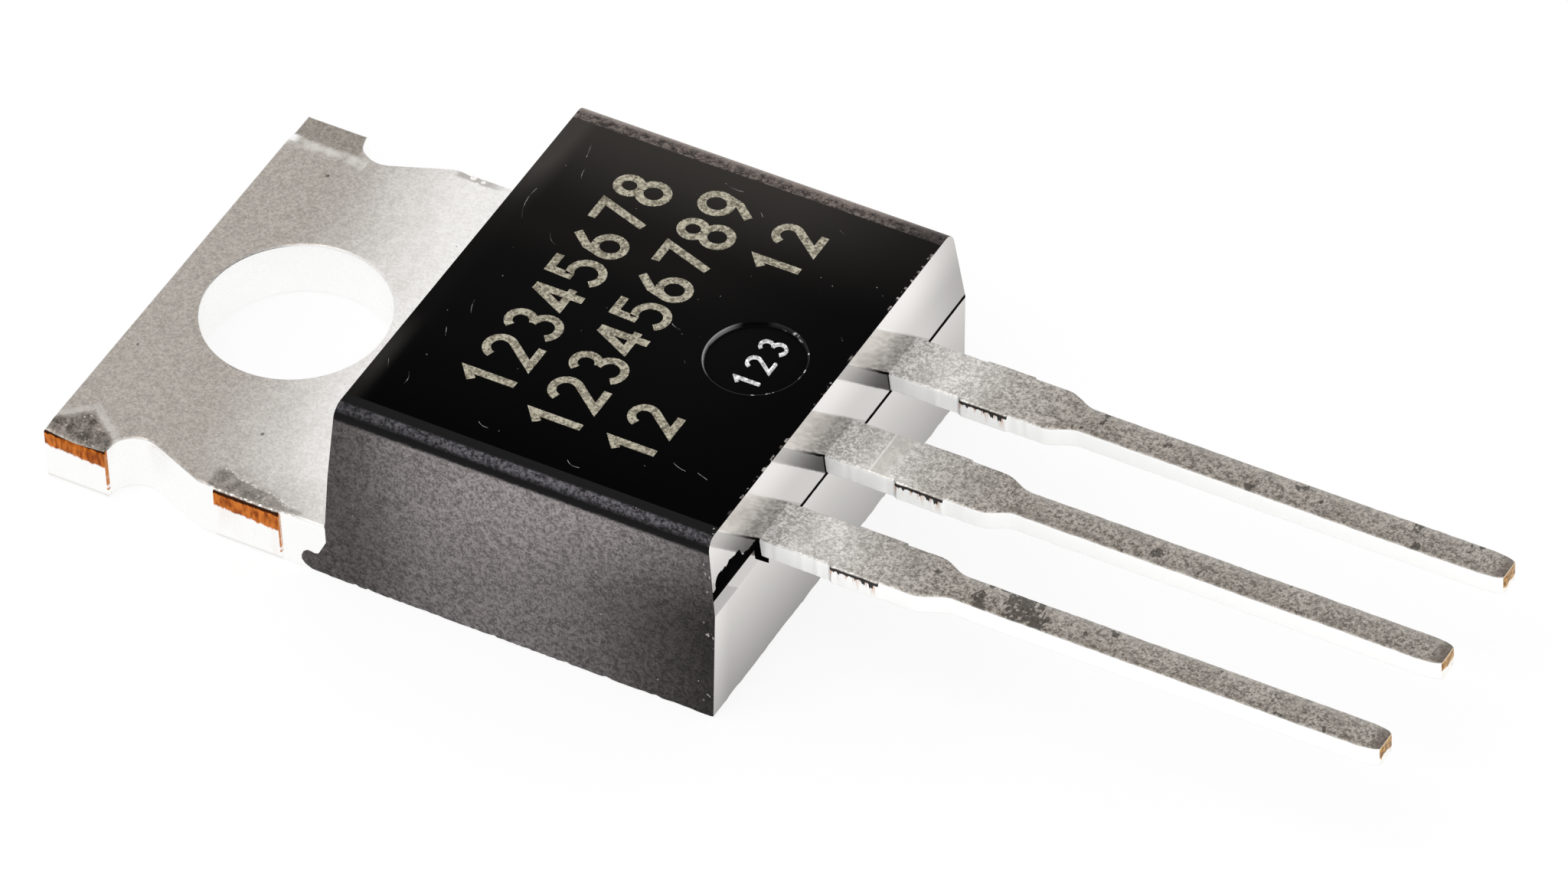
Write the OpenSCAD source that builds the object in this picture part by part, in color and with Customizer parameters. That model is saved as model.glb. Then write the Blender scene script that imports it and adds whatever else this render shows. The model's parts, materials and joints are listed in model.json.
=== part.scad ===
// Three-lead power transistor with a screw tab, lying on its back.
// The origin is on the screw hole's axis at the back face. The leads point along +X,
// and the marked face of the moulding looks along +Z.

/* [Tab] */
// Thickness of the copper header and its tab
header_t = 1.28; // [1.1:0.02:1.4]
// Diameter of the screw hole
hole_d = 3.8; // [3.5:0.05:4.1]
// From the hole's axis to the tab's end edge
tab_end = 2.7; // [2.5:0.05:3.2]
// Width of the tab over its two corner ears
tab_w = 10.06; // [9.8:0.02:10.5]
// Length of each corner ear along the tab's side
ear_len = 1.38; // [1:0.02:1.6]
// Radius of the round notch behind each ear
notch_r = 0.6; // [0.4:0.02:0.7]
// Length of the ramp that leads out of the notch
ramp_len = 1.02; // [0.8:0.02:1.2]
// How far the tab's plain sides and the feet lie inside the moulding's back edges
side_inset = 0.02; // [0.02:0.01:0.15]
// From the hole's axis to the cut tie bar on each side
tie_x = 1.08; // [1.02:0.01:1.3]
// Length of each cut tie bar along the side
tie_len = 1.47; // [1.2:0.01:1.6]
// How far a cut tie bar stands out of the side
tie_out = 0.03; // [0.02:0.01:0.1]

/* [Header inside the moulding] */
// From the moulding's tab-side face to the end of the die pad
pad_len = 6.2; // [5.9:0.05:6.6]
// Width of the die pad at its upper flange
pad_w = 8.9; // [8.4:0.05:9.2]
// How far the pad's lower part is set in, so that the moulding grips the flange
lock_in = 0.4; // [0.2:0.02:0.6]
// Height of the set-in lower part
lock_h = 0.55; // [0.4:0.05:0.7]
// How far a foot of the moulding reaches along each lower corner of the tab
foot_len = 0.6; // [0.5:0.02:0.9]
// Height of that foot
foot_h = 0.48; // [0.4:0.02:0.6]
// Radius between the top of the foot and the moulding
foot_fillet = 0.34; // [0.2:0.02:0.4]
// Depth of the foot into the tab's side
foot_in = 0.42; // [0.3:0.02:0.5]
// Width of the groove across the header, just inside the moulding, that stops moisture
groove_w = 0.3; // [0.2:0.02:0.4]
// Depth of that groove
groove_d = 0.15; // [0.08:0.01:0.25]

/* [Moulded body] */
// From the hole's axis to the moulding's tab-side face
body_x = 3.57; // [3.4:0.01:3.8]
// Length of the moulding at its parting line
body_len = 8.62; // [8.45:0.01:9]
// Height of the marked face above the back
body_h = 4.47; // [4.3:0.01:4.8]
// Width of the moulding at its back face
body_w = 9.96; // [9.8:0.01:10.4]
// Width of the moulding at its parting line
body_w_parting = 9.88; // [9.7:0.01:10.2]
// Width of the marked face, measured to where its sides would meet it
body_w_top = 9.58; // [9.4:0.01:9.8]
// Height of the parting line, which is the underside of the leads
parting_h = 2.7; // [2.5:0.01:2.85]
// How far the tab-side face leans in from the tab to the marked face
tab_lean = 0.34; // [0.2:0.01:0.5]
// How far the lead-side face leans in above the parting line
upper_lean = 0.15; // [0.08:0.01:0.3]
// How far the lead-side face leans in below the parting line
lower_lean = 0.14; // [0.08:0.01:0.3]
// Radius along the two long upper edges
edge_r = 0.28; // [0.15:0.01:0.4]
// Diameter of the ejector recess in the marked face
recess_d = 2; // [1.6:0.05:2.4]
// Depth of the ejector recess
recess_depth = 0.09; // [0.05:0.01:0.15]
// From the lead-side parting line to the middle of the recess
recess_back = 1.8; // [1.6:0.02:2.2]

/* [Leads] */
// Distance between neighbouring leads
lead_pitch = 2.54; // [2.5:0.01:2.6]
// Thickness of each lead
lead_t = 0.45; // [0.36:0.01:0.55]
// Width of the narrow part of each lead
lead_w = 0.69; // [0.6:0.01:0.9]
// Width of each lead's shoulder beside the moulding
shoulder_w = 1.17; // [1.1:0.01:1.5]
// Length of the shoulder from the moulding to its taper
shoulder_len = 3.36; // [3:0.02:3.8]
// Length of the taper from the shoulder to the narrow part
taper_len = 0.55; // [0.3:0.01:0.8]
// Length of each lead outside the moulding
lead_len = 12.93; // [12.7:0.01:14]
// Width of each lead's cut tip
tip_w = 0.45; // [0.3:0.01:0.55]
// Length over which the tip narrows
tip_len = 0.6; // [0.4:0.02:1]
// From the moulding to the cut dam bar on each side of a lead
dam_gap = 1.49; // [1.2:0.01:1.7]
// Length of the cut dam bar along the lead
dam_len = 1.04; // [0.8:0.01:1.2]
// How far the cut dam bar stands out of the shoulder
dam_out = 0.04; // [0.02:0.01:0.08]

/* [Bond posts] */
// Length of the bond post at the inner end of an outer lead
post_len = 1.15; // [0.9:0.05:1.4]
// From the parting line of the lead-side face back to the bond post
post_in = 0.85; // [0.7:0.05:1]
// Length over which a bond post narrows to its lead
flare_len = 0.5; // [0.4:0.05:0.6]
// Width of the source lead's bond post
source_post_w = 2.7; // [2.4:0.05:2.8]
// Width of the gate lead's bond post
gate_post_w = 1.9; // [1.6:0.05:2.4]
// Gap between the drain lead and each bond post
post_gap = 0.75; // [0.6:0.05:0.9]
// From the end of the die pad to the foot of the drain lead's bend
bend_foot = 0.15; // [0.1:0.05:0.3]
// From the parting line of the lead-side face back to the top of that bend
bend_in = 0.7; // [0.6:0.05:0.8]

/* [Die and bond wires] */
// Length of the silicon die along the leads
die_len = 4.1; // [3.6:0.05:4.3]
// Width of the silicon die
die_w = 6.4; // [5.6:0.05:6.6]
// Thickness of the silicon die
die_t = 0.2; // [0.15:0.01:0.25]
// Thickness of the solder under the die
solder_t = 0.05; // [0.03:0.01:0.08]
// How far the solder shows round the die
solder_out = 0.12; // [0.06:0.01:0.2]
// From the end of the die pad back to the die
die_back = 0.55; // [0.45:0.05:0.65]
// Diameter of each source wire
source_wire_d = 0.38; // [0.25:0.01:0.4]
// Diameter of the gate wire
gate_wire_d = 0.2; // [0.12:0.01:0.25]
// Distance between neighbouring source wires on their post
source_wire_pitch = 0.8; // [0.7:0.01:0.85]
// How high the wires' loops rise above the bond posts
loop_h = 0.42; // [0.35:0.01:0.5]
// From the lead-side edge of the die back to the wires' bonds on it
bond_back = 0.9; // [0.7:0.05:1.1]
// From the centre line to the middle source wire's bond on the die
source_bond_y = 1.6; // [1.5:0.05:1.9]

/* [Hidden] */

// Curves are cut fine enough to look round in a preview.
$fn = 64;
taper_steps = 8;
wire_sides = 10;
wire_rings = 18;
source_wires = 3;

// A bond's flattened foot, in wire diameters: along the wire, across it and up.
foot_l = 1.9;
foot_w = 1.15;
foot_t = 0.4;

// Stations along X.
body_end = body_x + body_len;
pad_end = body_x + pad_len;
groove_x = body_x + groove_w / 2;
recess_x = body_end - recess_back;
lead_tip = body_end + lead_len;
post_end = body_end - post_in;
post_start = post_end - post_len;
post_mid_x = post_end - post_len / 2;
die_end = pad_end - die_back;
die_start = die_end - die_len;
bond_x = die_end - bond_back;
notch_x = -tab_end + ear_len + notch_r;

// Stations across Y.
side_y = body_w / 2 - side_inset;
foot_y = side_y - foot_in;
pad_y = pad_w / 2;
drain_y = shoulder_w / 2;
post_y = drain_y + post_gap;
gate_mid_y = post_y + gate_post_w / 2;
source_mid_y = post_y + source_post_w / 2;

// Stations up Z.
lead_top = parting_h + lead_t;
die_bottom = header_t + solder_t;
die_top = die_bottom + die_t;

// Longer than anything that it cuts.
past = 30;
// Takes a cutting or joining solid clear past the face that it goes through.
clear = 1;

// What a notch takes out of one side of the tab: a half round and its ramp.
module notch_outline() {
    ramp_angle = asin(notch_r / (notch_r + ramp_len));
    translate([notch_x, tab_w / 2]) {
        circle(r = notch_r);
        polygon([
            [0, past],
            [0, 0],
            [notch_r * sin(ramp_angle), -notch_r * cos(ramp_angle)],
            [notch_r + ramp_len, 0],
            [notch_r + ramp_len, past]
        ]);
    }
}

// The tab seen from above: ears, notches, plain sides and cut tie bars.
module tab_outline() {
    difference() {
        union() {
            translate([-tab_end, -tab_w / 2]) square([ear_len + notch_r, tab_w]);
            translate([notch_x, -side_y]) square([body_x - notch_x, 2 * side_y]);
            translate([tie_x, -side_y - tie_out]) square([tie_len, 2 * (side_y + tie_out)]);
        }
        for (side = [0, 1]) mirror([0, side]) notch_outline();
        circle(d = hole_d);
    }
}

// Side view of the foot of moulding along a lower corner of the tab: a round nose, and a
// fillet where it meets the moulding.
module foot_outline() {
    nose_r = foot_h / 2;
    translate([body_x - foot_len + nose_r, nose_r]) circle(r = nose_r);
    translate([body_x - foot_len + nose_r, 0]) square([foot_len - nose_r, foot_h]);
    difference() {
        translate([body_x - foot_fillet, foot_h]) square(foot_fillet);
        translate([body_x - foot_fillet, foot_h + foot_fillet]) circle(r = foot_fillet);
    }
}

// Both feet, from their depth inside the tab's sides out to the distance given.
module feet(outer_y) {
    for (side = [0, 1]) mirror([0, side, 0])
        translate([0, outer_y, 0]) rotate([90, 0, 0]) linear_extrude(outer_y - foot_y) foot_outline();
}

// Plan of a lead outside the moulding, centred on y = 0, from a start inside it to the tip.
module lead_plan(start) {
    half_tip = tip_w / 2;
    taper_x = body_end + shoulder_len;
    edge = concat(
        [[start, shoulder_w / 2]],
        [for (i = [0:taper_steps]) [
            taper_x + taper_len * i / taper_steps,
            lead_w / 2 + (shoulder_w - lead_w) / 2 * (1 + cos(180 * i / taper_steps)) / 2
        ]],
        [for (i = [0:taper_steps]) [
            lead_tip - tip_len * cos(90 * i / taper_steps),
            lead_w / 2 - (lead_w / 2 - half_tip) * pow(i / taper_steps, 2)
        ]]
    );
    polygon(concat(edge, [for (i = [len(edge) - 1:-1:0]) [edge[i].x, -edge[i].y]]));
    translate([body_end + dam_gap, -shoulder_w / 2 - dam_out])
        square([dam_len, shoulder_w + 2 * dam_out]);
}

// A lead outside the moulding, at its own place across the row.
module lead(start) {
    translate([0, 0, parting_h]) linear_extrude(lead_t) lead_plan(start);
}

// The drain lead's bend, which climbs from the die pad to the height of the leads.
module drain_bend() {
    foot_x = pad_end + bend_foot;
    top_x = body_end - bend_in;
    slope = atan2(lead_top - header_t, top_x - foot_x);
    shift = lead_t * tan(slope / 2);
    translate([0, drain_y, 0]) rotate([90, 0, 0]) linear_extrude(shoulder_w) polygon([
        [pad_end - lead_t, header_t - lead_t],
        [foot_x + shift, header_t - lead_t],
        [top_x + shift, parting_h],
        [body_end, parting_h],
        [body_end, lead_top],
        [top_x, lead_top],
        [foot_x, header_t],
        [pad_end - lead_t, header_t]
    ]);
}

// Copper header: the screw tab, the die pad with its gripping flange, and the drain lead.
module header_and_drain_lead() {
    color("silver") union() {
        difference() {
            union() {
                linear_extrude(header_t) tab_outline();
                translate([body_x - clear, -pad_y, lock_h])
                    cube([pad_len + clear, pad_w, header_t - lock_h]);
                translate([body_x - clear, -pad_y + lock_in, 0])
                    cube([pad_len - lock_in + clear, pad_w - 2 * lock_in, lock_h]);
            }
            feet(tab_w);
            translate([groove_x, past / 2, header_t]) rotate([90, 0, 0]) linear_extrude(past)
                polygon([[-groove_w / 2, 0], [0, -groove_d], [groove_w / 2, 0], [0, clear]]);
        }
        drain_bend();
        lead(body_end - bend_in / 2);
    }
}

// A bond post: the wide inner end of an outer lead, flaring from the lead's shoulder.
module post_plan(width) {
    flare_end = post_end + flare_len;
    polygon([
        [post_start, post_y],
        [post_end, post_y],
        [flare_end, lead_pitch - shoulder_w / 2],
        [flare_end, lead_pitch + shoulder_w / 2],
        [post_end, post_y + width],
        [post_start, post_y + width]
    ]);
}

// An outer lead with its bond post, on the +Y side.
module outer_lead(width) {
    translate([0, lead_pitch, 0]) lead(post_end + flare_len / 2);
    translate([0, 0, parting_h]) linear_extrude(lead_t) post_plan(width);
}

module gate_lead() {
    color("silver") mirror([0, 1, 0]) outer_lead(gate_post_w);
}

module source_lead() {
    color("silver") outer_lead(source_post_w);
}

// Solder layer that fixes the die to the pad.
module die_solder() {
    color("lightsteelblue")
        translate([die_start - solder_out, -die_w / 2 - solder_out, header_t])
            cube([die_len + 2 * solder_out, die_w + 2 * solder_out, solder_t]);
}

module silicon_die() {
    color("dimgray") translate([die_start, -die_w / 2, die_bottom]) cube([die_len, die_w, die_t]);
}

// Point at t of the line that a wire follows: level at both bonds, with a loop between them.
function route(a, b, t) =
    a + [(b.x - a.x) * t, (b.y - a.y) * t, (b.z - a.z) * (1 - cos(180 * t)) / 2]
    + [0, 0, (loop_h + (b.z - a.z) / 2) * pow(sin(180 * t), 2)];

// A bond wire of round section between two bonds, with a flattened foot at each of them.
module bond_wire(a, b, d) {
    foot = [foot_l * d, foot_w * d, foot_t * d];
    lift = [0, 0, d / 2];
    step = 0.5 / wire_rings;
    points = [for (i = [0:wire_rings])
        let (
            t = i / wire_rings,
            along = route(a, b, t + step) - route(a, b, t - step),
            side = cross(along, [0, 0, 1]),
            u = side / norm(side),
            w = cross(u, along) / norm(along)
        )
        for (k = [0:wire_sides - 1])
            route(a, b, t) + lift
            + d / 2 * (u * cos(360 * k / wire_sides) + w * sin(360 * k / wire_sides))];
    last = wire_rings * wire_sides;
    faces = concat(
        [[for (k = [wire_sides - 1:-1:0]) k]],
        [for (i = [0:wire_rings - 1]) for (k = [0:wire_sides - 1])
            let (n = (k + 1) % wire_sides, r = i * wire_sides)
            [r + k, r + n, r + wire_sides + n, r + wire_sides + k]],
        [[for (k = [0:wire_sides - 1]) last + k]]
    );
    polyhedron(points, faces);
    for (p = [a, b]) translate(p - [foot.x / 2, foot.y / 2, 0]) cube(foot);
}

module gate_wire() {
    color("gainsboro")
        bond_wire([bond_x, -gate_mid_y, die_top], [post_mid_x, -gate_mid_y, lead_top], gate_wire_d);
}

// One of the source wires, which run side by side from the die to their post.
module source_wire(number) {
    step = (number - (source_wires + 1) / 2) * source_wire_pitch;
    color("gainsboro") bond_wire(
        [bond_x, source_bond_y + step, die_top],
        [post_mid_x, source_mid_y + step, lead_top],
        source_wire_d
    );
}

// Side view of the moulding: leaning ends that meet at the parting line.
module body_profile() {
    polygon([
        [body_x, 0],
        [body_x, header_t],
        [body_x + tab_lean, body_h],
        [body_end - upper_lean, body_h],
        [body_end, parting_h],
        [body_end - lower_lean, 0]
    ]);
}

// End view of the moulding: sides that lean to the parting line, and round upper edges.
module body_section() {
    lean = atan2((body_w_parting - body_w_top) / 2, body_h - parting_h);
    centre = [body_w_top / 2 - edge_r * (1 - sin(lean)) / cos(lean), body_h - edge_r];
    tangent = centre + edge_r * [cos(lean), sin(lean)];
    half = [
        [body_w / 2, 0],
        [body_w_parting / 2, parting_h],
        tangent,
        [centre.x, body_h]
    ];
    polygon(concat(half, [for (i = [len(half) - 1:-1:0]) [-half[i].x, half[i].y]]));
    for (side = [-1, 1]) translate([side * centre.x, centre.y]) circle(r = edge_r);
}

// Everything that the compound flows round.
module inner_pieces() {
    header_and_drain_lead();
    gate_lead();
    source_lead();
    silicon_die();
    die_solder();
    gate_wire();
    for (number = [1:source_wires]) source_wire(number);
}

// Black epoxy moulding, with the feet at the tab's corners and the ejector recess.
module moulded_body() {
    color("#1c1a1b") difference() {
        union() {
            intersection() {
                translate([0, past / 2, 0]) rotate([90, 0, 0]) linear_extrude(past) body_profile();
                rotate([90, 0, 90]) linear_extrude(past) body_section();
            }
            feet(side_y);
        }
        inner_pieces();
        translate([recess_x, 0, body_h - recess_depth]) cylinder(d = recess_d, h = clear);
    }
}

moulded_body();
header_and_drain_lead();
gate_lead();
source_lead();
silicon_die();
die_solder();
gate_wire();
source_wire(1);  // source_wire_1
source_wire(2);  // source_wire_2
source_wire(3);  // source_wire_3
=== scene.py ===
import json
import bmesh
import bpy
import numpy as np
from mathutils import Matrix, Vector
from mathutils.geometry import delaunay_2d_cdt


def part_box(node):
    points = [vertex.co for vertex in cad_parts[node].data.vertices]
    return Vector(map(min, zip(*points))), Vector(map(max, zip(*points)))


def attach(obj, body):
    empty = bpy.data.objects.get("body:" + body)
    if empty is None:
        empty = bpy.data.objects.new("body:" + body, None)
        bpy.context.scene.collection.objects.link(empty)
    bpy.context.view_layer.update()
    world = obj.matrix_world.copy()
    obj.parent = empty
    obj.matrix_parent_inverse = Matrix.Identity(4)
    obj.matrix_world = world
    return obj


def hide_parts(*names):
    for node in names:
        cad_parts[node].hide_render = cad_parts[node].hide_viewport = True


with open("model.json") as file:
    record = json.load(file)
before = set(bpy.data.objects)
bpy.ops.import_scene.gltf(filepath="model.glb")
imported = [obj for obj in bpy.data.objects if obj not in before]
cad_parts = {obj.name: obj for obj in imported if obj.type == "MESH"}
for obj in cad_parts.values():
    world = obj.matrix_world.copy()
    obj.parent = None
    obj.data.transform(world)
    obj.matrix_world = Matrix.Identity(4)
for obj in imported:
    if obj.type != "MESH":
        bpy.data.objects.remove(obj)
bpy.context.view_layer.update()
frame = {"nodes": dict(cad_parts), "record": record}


# Header: the stamped copper plate that carries the screw hole and, inside the moulding, the
# die. Its tin plating is dull and mottled on the rolled faces. The ears and the tie bars were
# sheared off their strip after plating, so their cut faces show a band of bare copper.

MM = 0.001
header_low, header_high = (np.array(corner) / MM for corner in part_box("header_and_drain_lead"))
body_high = np.array(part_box("moulded_body")[1]) / MM
mounts = {mount["name"]: mount for mount in frame["record"]["mounts"]}

header_t = mounts["tab_face"]["pos_m"][2] / MM
hole_r = mounts["screw_hole"]["dims"]["r_mm"]
tab_end = -header_low[0]
ear_y = header_high[1]
ear_len = 1.38
notch_r = 0.6
notch_ramp = 1.02
ear_dip_x = -2.05
near_ear_drop, far_ear_drop, tie_drop = 0.13, 0.05, 0.04
side_y = 4.96
tie_start = 1.08
tie_len = 1.47
tie_out = 0.03
body_x = 3.57
pad_end = 9.77
pad_y = 4.45
lock_in = 0.4
lock_h = 0.55
rolled_r = 0.07
rim_r = 0.05
outline_step, top_step, back_step = 0.08, 0.12, 0.6


def build(name, points, faces, sharp_angle=35):
    """Mesh object at the origin, from points in millimetres: doubles merged, unused points
    dropped, faces turned outwards, smooth shading with sharp edges above the angle given."""
    mesh = bpy.data.meshes.new(name)
    mesh.from_pydata((np.asarray(points) * MM).tolist(), [], [list(map(int, face)) for face in faces])
    work = bmesh.new()
    work.from_mesh(mesh)
    bmesh.ops.remove_doubles(work, verts=work.verts, dist=1e-4 * MM)
    unused = [point for point in work.verts if not point.link_faces]
    bmesh.ops.delete(work, geom=unused, context="VERTS")
    bmesh.ops.recalc_face_normals(work, faces=work.faces)
    work.to_mesh(mesh)
    work.free()
    mesh.shade_smooth()
    mesh.set_sharp_from_angle(angle=np.radians(sharp_angle))
    piece = bpy.data.objects.new(name, mesh)
    bpy.context.scene.collection.objects.link(piece)
    return piece


def tube_faces(rows, columns):
    """Quads of a grid of rows whose columns run all the way round."""
    row, column = np.meshgrid(np.arange(rows - 1), np.arange(columns), indexing="ij")
    beside = (column + 1) % columns
    start, end = row * columns, (row + 1) * columns
    corners = [start + column, start + beside, end + beside, end + column]
    return np.stack(corners, -1).reshape(-1, 4)


def capped(rings):
    """The rings of a tube, with one more at each end that is shrunk to the end's middle."""
    count = rings.shape[1]
    start, end = (np.repeat(rings[at][None].mean(1, keepdims=True), count, 1) for at in (0, -1))
    return np.concatenate([start, rings, end])


def dense(corners, step):
    """Points along a line through the corners, about a step apart, with each corner kept."""
    parts = []
    for start, end in zip(corners[:-1], corners[1:]):
        count = max(1, int(round(np.hypot(*(end - start)) / step)))
        parts.append(start + (end - start) * np.linspace(0, 1, count, endpoint=False)[:, None])
    return np.concatenate(parts + [corners[-1:]])


def ripple(position, seed, spacing, height):
    """Smooth random line: random heights a spacing apart, joined with a cosine ease."""
    random = np.random.default_rng(seed)
    start = position.min()
    knots = random.uniform(-1, 1, int((position.max() - start) / spacing) + 3)
    place = (position - start) / spacing
    left = np.floor(place).astype(int)
    ease = (1 - np.cos(np.pi * (place - left))) / 2
    return height * (knots[left] * (1 - ease) + knots[left + 1] * ease)


# Half of the outline, from the middle of the tab's end round to the middle of the pad's end.
notch_x = -tab_end + ear_len + notch_r
ramp_angle = np.arcsin(notch_r / (notch_r + notch_ramp))
notch_turn = np.linspace(np.pi, 1.5 * np.pi + ramp_angle, 16)
notch = np.stack([notch_x + notch_r * np.cos(notch_turn), ear_y + notch_r * np.sin(notch_turn)], 1)
ramp_end = notch_x + notch_r + notch_ramp - (ear_y - side_y) / np.tan(ramp_angle)
half = np.concatenate([
    [[-tab_end, 0], [-tab_end, ear_y]],
    notch,
    [[ramp_end, side_y], [tie_start, side_y], [tie_start, side_y + tie_out]],
    [[tie_start + tie_len, side_y + tie_out], [tie_start + tie_len, side_y]],
    [[body_x, side_y], [body_x, pad_y], [pad_end, pad_y], [pad_end, 0]],
])
half = dense(half, outline_step)
outline = np.concatenate([half, (half * [1, -1])[-2:0:-1]])
inside = outline[:, 0] > body_x - 1e-6
on_pad = inside & (np.abs(outline[:, 1]) < pad_y + 1e-6)
lower_outline = outline.copy()
drawn_in = np.minimum(np.abs(outline[on_pad, 1]), pad_y - lock_in)
lower_outline[on_pad, 1] = np.sign(outline[on_pad, 1]) * drawn_in
lower_outline[on_pad, 0] = np.minimum(outline[on_pad, 0], pad_end - lock_in)
edge_way = np.roll(outline, -1, 0) - np.roll(outline, 1, 0)
outward = np.stack([edge_way[:, 1], -edge_way[:, 0]], 1)
outward /= -np.linalg.norm(outward, axis=1)[:, None]


def sheared_top(plan):
    """How far the shears drew the top face down, in millimetres. It grows in a straight line
    across each shear mark: most at the near ear, and less at the far ear and the tie bars."""
    x, y = plan[:, 0], np.abs(plan[:, 1])
    peak = 4.1 + np.where(x < ear_dip_x, ear_dip_x - x, 0.65 * (x - ear_dip_x))
    ear = np.clip((y - peak) / 0.9, 0, 1) * np.clip((-1.0 - x) / 0.2, 0, 1)
    far_ear = np.clip((y - 4.35) / 0.15, 0, 1) * np.clip((-1.05 - x) / 0.25, 0, 1)
    tie = np.clip((y - 4.5) / 0.5, 0, 1) * np.clip(np.minimum(x - 0.9, 2.65 - x) / 0.2, 0, 1)
    return np.where(plan[:, 1] < 0, near_ear_drop * ear, far_ear_drop * far_ear) + tie_drop * tie


def header_row(plan, height):
    """One ring of the header: a plan outline at a height, or at heights point by point."""
    return np.column_stack([plan, np.broadcast_to(height, len(plan))])


def filled(outer, inner, net_step):
    """Triangles in plan between an outer loop and the hole's loop, over a net of points."""
    x, y = np.meshgrid(np.arange(-tab_end, pad_end, net_step), np.arange(-ear_y, ear_y, net_step))
    net = np.stack([x.ravel(), y.ravel()], 1)
    loops = np.concatenate([outer, inner])
    gap = np.sqrt(((net[:, None] - loops[None]) ** 2).sum(-1)).min(1)
    points = np.concatenate([loops, net[gap > net_step / 2]])
    edges = []
    for first, count in ((0, len(outer)), (len(outer), len(inner))):
        edges += [(first + number, first + (number + 1) % count) for number in range(count)]
    found = delaunay_2d_cdt([Vector(point) for point in points], edges, [], 1, 1e-6)
    points, triangles = np.array(found[0]), np.array(found[2])
    middle = points[triangles].mean(1)
    return points, triangles[np.linalg.norm(middle, axis=1) > np.linalg.norm(inner[0])]


# The hole's wall from its lower edge to its rim, then the outer edge from the top down.
turn = np.radians(np.arange(0, 360, 2))
spoke = np.stack([np.cos(turn), np.sin(turn)], 1)
wall = [header_row(spoke * (hole_r + 0.05), 0)]
for height in (0.05, 0.3, 0.6, 0.9, header_t - rim_r):
    wall.append(header_row(spoke * hole_r, height))
for angle in np.radians((30, 60, 90)):
    radius = hole_r + rim_r * (1 - np.cos(angle))
    wall.append(header_row(spoke * radius, header_t - rim_r * (1 - np.sin(angle))))
edge_drop = sheared_top(outline)
edge_top = header_t - edge_drop - rolled_r
rim = []
for angle in np.radians((0, 30, 60, 90)):
    plan = outline - outward * rolled_r * (1 - np.sin(angle))
    rim.append(header_row(plan, edge_top + rolled_r * np.cos(angle)))
rim[0][:, 2] = header_t - sheared_top(rim[0][:, :2])
for share in (0.12, 0.3, 0.5, 0.75, 1):
    rim.append(header_row(outline, edge_top + (lock_h - edge_top) * share))
for height in (lock_h, 0.35, 0.15, 0.04):
    rim.append(header_row(lower_outline, height))
rim.append(header_row(lower_outline - outward * 0.03, 0))
top_points, top_faces = filled(rim[0][:, :2], wall[-1][:, :2], top_step)
low_points, low_faces = filled(rim[-1][:, :2], wall[0][:, :2], back_step)
points = [*wall, *rim]
points.append(header_row(top_points, header_t - sheared_top(top_points)))
points.append(header_row(low_points, 0))
starts = np.cumsum([len(spoke) * len(wall), len(outline) * len(rim), len(top_points)])
faces = [*tube_faces(len(wall), len(spoke)), *(tube_faces(len(rim), len(outline)) + starts[0])]
faces += [*(top_faces + starts[1]), *(low_faces + starts[2])]
header = build("header", np.concatenate(points), faces)


class Level:
    """A number or colour inside a material. Arithmetic on it adds Math nodes to the tree."""

    def __init__(self, finish, socket):
        self.finish = finish
        self.socket = socket

    def math(self, operation, *others):
        values = {"Value": self}
        for number, other in enumerate(others):
            values[f"Value_{number + 1:03d}"] = other
        return self.finish.add("Math", values, operation=operation)

    def __add__(self, other):
        return self.math("ADD", other)

    def __sub__(self, other):
        return self.math("SUBTRACT", other)

    def __rsub__(self, other):
        return self.math("MULTIPLY", -1).math("ADD", other)

    def __mul__(self, other):
        return self.math("MULTIPLY", other)

    def __gt__(self, other):
        return self.math("GREATER_THAN", other)

    def __lt__(self, other):
        return self.math("LESS_THAN", other)

    def __abs__(self):
        return self.math("ABSOLUTE")

    __radd__ = __add__
    __rmul__ = __mul__

    def ramp(self, low, high):
        """0 below the low end, 1 above the high end, and smooth between them."""
        sockets = {"Value": self, "From Min": low, "From Max": high}
        return self.finish.add("MapRange", sockets, interpolation_type="SMOOTHSTEP")

    def fall(self, low, high):
        """1 below the low end, 0 above the high end, and smooth between them."""
        return 1 - self.ramp(low, high)

    def line(self, inner, outer):
        """1 within the inner distance of zero on either side, and 0 beyond the outer one."""
        return abs(self).fall(inner, outer)

    def every(self, spacing):
        """How far the level is past the nearest multiple of the spacing, or short of it."""
        return (self + spacing / 2).math("FLOORED_MODULO", spacing) - spacing / 2


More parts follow.
